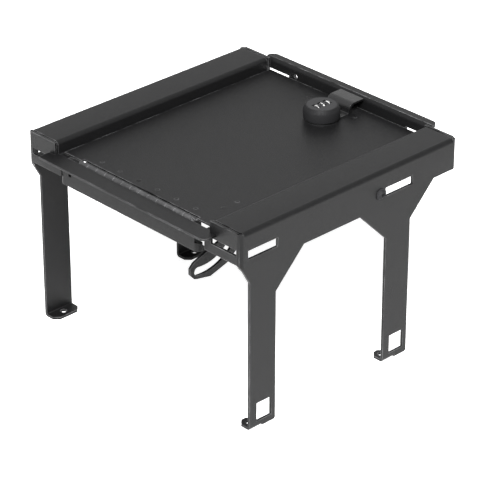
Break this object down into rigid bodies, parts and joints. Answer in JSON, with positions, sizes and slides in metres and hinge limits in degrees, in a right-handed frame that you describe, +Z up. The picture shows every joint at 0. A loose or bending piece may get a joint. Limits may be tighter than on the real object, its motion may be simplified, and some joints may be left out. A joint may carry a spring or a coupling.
{
  "type": "console safe",
  "caption": "Black steel vehicle console safe: a hinged lid with a combination lock and pull tab, recessed between two legged side frames.",
  "frame": {"origin": "centre of the bounding box in X and Y, on the floor plane under the feet", "axes": "+Z up; +Y from the hinge shelf at the front to the lock at the rear; +X across the rails, to the side of the lid stay"},
  "size_m": [0.3124, 0.322, 0.2224],
  "materials": {
    "powder_coat": "satin black powder coat",
    "bracket_coat": "satin black powder coat",
    "bolt_black": "black oxide",
    "hinge_steel": "powder-coated steel, worn",
    "plated_steel": "zinc plated",
    "lock_black": "satin black",
    "dial_metal": "dark plated, white figures",
    "gasket_rubber": "matte"
  },
  "bodies": {
    "frame": {"right_side_frame": "powder_coat", "left_side_frame": "powder_coat", "hinge_shelf": "powder_coat", "front_cross_bar": "bracket_coat", "rear_wall": "powder_coat", "fixed_hinge_leaf": "hinge_steel", "hinge_pin": "hinge_steel", "side_bolts": "bolt_black", "side_bolt_nuts": "plated_steel", "stay_bracket": "bracket_coat", "stay_bolt": "plated_steel", "stay_bolt_nut": "plated_steel"},
    "lid": {"lid": "powder_coat", "lid_hinge_leaf": "hinge_steel", "hinge_rivets": "powder_coat", "lock_reinforcement": "bracket_coat", "reinforcement_rivets": "powder_coat", "pull_tab": "powder_coat", "lid_stay": "bracket_coat", "stay_rivets": "powder_coat", "lock_gasket": "gasket_rubber", "lock_bushing": "plated_steel", "lock_nut": "plated_steel"},
    "lock": {"lock_knob": "lock_black", "lock_face": "lock_black", "lock_spindle": "plated_steel", "lock_cam": "plated_steel", "cam_screw": "plated_steel", "dial_axle": "plated_steel"},
    "dial_front": {"dial_front": "dial_metal"},
    "dial_middle": {"dial_middle": "dial_metal"},
    "dial_rear": {"dial_rear": "dial_metal"}
  },
  "joints": [
    {"name": "lid_hinge", "type": "hinge", "parent": "frame", "child": "lid", "pos_m": [0, -0.139, 0.2048], "axis": [1, 0, 0], "range_deg": [0, 72]},
    {"name": "lock_turn", "type": "hinge", "parent": "lid", "child": "lock", "pos_m": [0.012, 0.102, 0.2], "axis": [0, 0, 1], "range_deg": [0, 90]},
    {"name": "dial_front_turn", "type": "hinge", "parent": "lock", "child": "dial_front", "pos_m": [0.012, 0.0944, 0.2174], "axis": [0, 1, 0], "continuous": true},
    {"name": "dial_middle_turn", "type": "hinge", "parent": "lock", "child": "dial_middle", "pos_m": [0.012, 0.102, 0.2174], "axis": [0, 1, 0], "continuous": true},
    {"name": "dial_rear_turn", "type": "hinge", "parent": "lock", "child": "dial_rear", "pos_m": [0.012, 0.1096, 0.2174], "axis": [0, 1, 0], "continuous": true}
  ]
}
